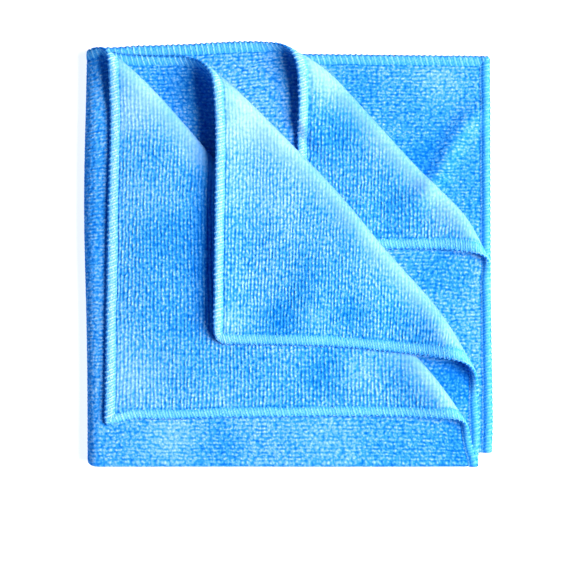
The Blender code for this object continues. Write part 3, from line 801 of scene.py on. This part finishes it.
def terryMaterial(fluffGroup):
    # tufts are domes and fluff. Their relief adds the ribs. Their tone adds the ribs, as painted shade
    # in the hollows and lighter tops, and the painted highlight along folds with the painted light and
    # shade spots, less the seam. Bends calm the relief and the contrast
    material, tree, shader, fluff = fabric("terry", terry, fluffGroup)
    weave = addNode(tree, "ShaderNodeUVMap", uv_map="weave").outputs["UV"]
    back = readMark(tree, "back")
    calm = maths(tree, "MULTIPLY_ADD", readMark(tree, "bend"), -terry["bendCalm"], 1.0)
    dome, ribs = loopPattern(tree, weave, back)
    fluff = maths(tree, "MULTIPLY_ADD", fluff, terry["fluffShare"], terry["tuftBase"])
    tufts = maths(tree, "MULTIPLY_ADD", dome, terry["domeShare"], fluff)
    height = maths(tree, "MULTIPLY", maths(tree, "MULTIPLY_ADD", ribs, terry["ribRelief"], tufts), calm)

    # painted shade in the hollows between loops and ribs, and lighter tops, following the relief
    contrast = maths(tree, "MULTIPLY_ADD", tufts, terry["contrast"], -terry["darker"])
    contrast = maths(tree, "MULTIPLY", contrast, calm)
    ribTone = maths(tree, "MULTIPLY_ADD", back, terry["backTone"] - terry["ribTone"], terry["ribTone"])
    ribTone = maths(tree, "MULTIPLY", maths(tree, "MULTIPLY", ribs, ribTone), calm)
    tone = maths(tree, "ADD", ribTone, contrast)
    # adds the painted highlight along the folds and the painted light and shade spots, with soft
    # patches
    tone = maths(tree, "MULTIPLY_ADD", readMark(tree, "paintedLightAndPatches"), terry["lightAndPatchesTone"], tone)
    tone = maths(tree, "SUBTRACT", maths(tree, "ADD", tone, terry["middleTone"]), seamTone(tree, weave))
    addSurface(tree, shader, terry, tone, height)
    return material


thread = {
    "stops": ((0.0, (0.0, 0.14, 0.6)), (0.45, (0.04, 0.31, 0.72)), (0.8, (0.17, 0.49, 0.79)),
              (1.0, (0.5, 0.65, 0.82))),
    "scale": 500.0, "depth": 0.0002, "strands": 2.0, "shake": 4.0, "strandTone": 0.09,
    "strandRelief": 0.25, "fluffTone": 0.3, "shadeTone": 0.9, "darker": 0.05,
}


def threadMaterial(fluffGroup):
    # lighter thread, whose shade mark brings painted shade in the grooves between stitches and the
    # painted light of each side, each stitch of fine strands: a cosine over the stitches passed, shaken
    # by the fluff
    material, tree, shader, fluff = fabric("overlockThread", thread, fluffGroup)
    turn = maths(tree, "MULTIPLY", readMark(tree, "stitch"), 2 * pi * thread["strands"])
    strands = maths(tree, "COSINE", maths(tree, "MULTIPLY_ADD", fluff, thread["shake"], turn))
    tone = maths(tree, "MULTIPLY_ADD", readMark(tree, "shade"), thread["shadeTone"], -thread["darker"])
    tone = maths(tree, "MULTIPLY_ADD", fluff, thread["fluffTone"], tone)
    tone = maths(tree, "MULTIPLY_ADD", strands, thread["strandTone"], tone)
    height = maths(tree, "MULTIPLY_ADD", strands, thread["strandRelief"], fluff)
    addSurface(tree, shader, thread, tone, height)
    return material


fluffGroup = fibreGroup()
layerPieces = [layerPiece(layer) for layer in (4, 3, 2, 1)]
print("layers made,", [len(piece.data.polygons) * 2 for piece in layerPieces], "triangles")
edgePiece = overlockEdge()
print("overlocked edge made,", len(edgePiece.data.polygons) * 2, "triangles")

edgePiece.data.materials.append(threadMaterial(fluffGroup))
pileMaterial = terryMaterial(fluffGroup)
for piece in layerPieces:
    piece.data.materials.append(pileMaterial)
for piece in layerPieces + [edgePiece]:
    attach(piece, "root")
    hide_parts("cloth")
print("materials and roles set")

# Metres and watts
studio = {
    "floorSize": 6.0, "floorDown": 0.0002, "floor": (0.5, 0.5, 0.5), "floorRough": 0.6,
    "floorGlow": 0.85, "world": 0.23, "worldColour": (0.05, 0.36, 1.0),
    "key": {"power": 122.0, "size": 1.3, "at": (1.47, -0.08, 1.3), "colour": (1.0, 0.96, 0.92)},
    "fill": {"power": 2.7, "size": 0.4, "at": (-0.72, -0.6, 0.26), "colour": (0.2, 0.6, 1.0)},
}


def makeFloor():  # a plain pale square just under the cloth that glows, so that it stays white
    bpy.ops.mesh.primitive_plane_add(size=studio["floorSize"], location=(0, 0, -studio["floorDown"]))
    floor = bpy.context.object
    floor.name = "floor"
    material = bpy.data.materials.new("paleFloor")
    material.use_nodes = True
    shader = material.node_tree.nodes["Principled BSDF"]
    shader.inputs["Base Color"].default_value = (*studio["floor"], 1.0)
    shader.inputs["Roughness"].default_value = studio["floorRough"]
    shader.inputs["Emission Color"].default_value = (1, 1, 1, 1)
    shader.inputs["Emission Strength"].default_value = studio["floorGlow"]
    floor.data.materials.append(material)


def makeLight(name):  # a square lamp aimed at the middle of the floor
    values = studio[name]
    lamp = bpy.data.lights.new(name, "AREA")
    lamp.energy = values["power"]
    lamp.size = values["size"]
    lamp.color = values["colour"]
    light = bpy.data.objects.new(name, lamp)
    bpy.context.scene.collection.objects.link(light)
    light.location = values["at"]
    light.rotation_euler = (-Vector(values["at"])).to_track_quat("-Z", "Y").to_euler()


def makeWorld():  # an even, dim blue light from all round
    world = bpy.data.worlds.new("studio")
    world.use_nodes = True
    background = world.node_tree.nodes["Background"]
    background.inputs["Color"].default_value = (*studio["worldColour"], 1.0)
    background.inputs["Strength"].default_value = studio["world"]
    bpy.context.scene.world = world
    bpy.context.scene.view_settings.view_transform = "Standard"


# The picture is high pixels high, each of them pixel millimetres at the cloth's middle height,
# subject. The camera stands over one place of the pack, in millimetres from its folds as it lies.
# Distance, subject and farthest are in metres.
view = {
    "high": 575, "pixel": 0.474, "over": (95.306, 84.219), "distance": 1.2, "subject": 0.012,
    "sensor": 36.0, "farthest": 20.0,
}


def makeCamera():
    # straight above, far enough off to be almost without perspective: the lens is the sensor's
    # height times distance over the height that the picture takes in
    camera = bpy.data.cameras.new("camera")
    camera.sensor_fit = "VERTICAL"
    camera.sensor_height = view["sensor"]
    reach = view["distance"] - view["subject"]
    camera.lens = camera.sensor_height * reach / (view["high"] * view["pixel"] * mm)
    camera.clip_end = view["farthest"]
    holder = bpy.data.objects.new("camera", camera)
    bpy.context.scene.collection.objects.link(holder)
    holder.location = (*((np.array(view["over"]) - centre) * mm), view["distance"])
    bpy.context.scene.camera = holder


makeFloor()
makeLight("key")
makeLight("fill")
makeWorld()
makeCamera()
print("floor, lights, world and camera set")
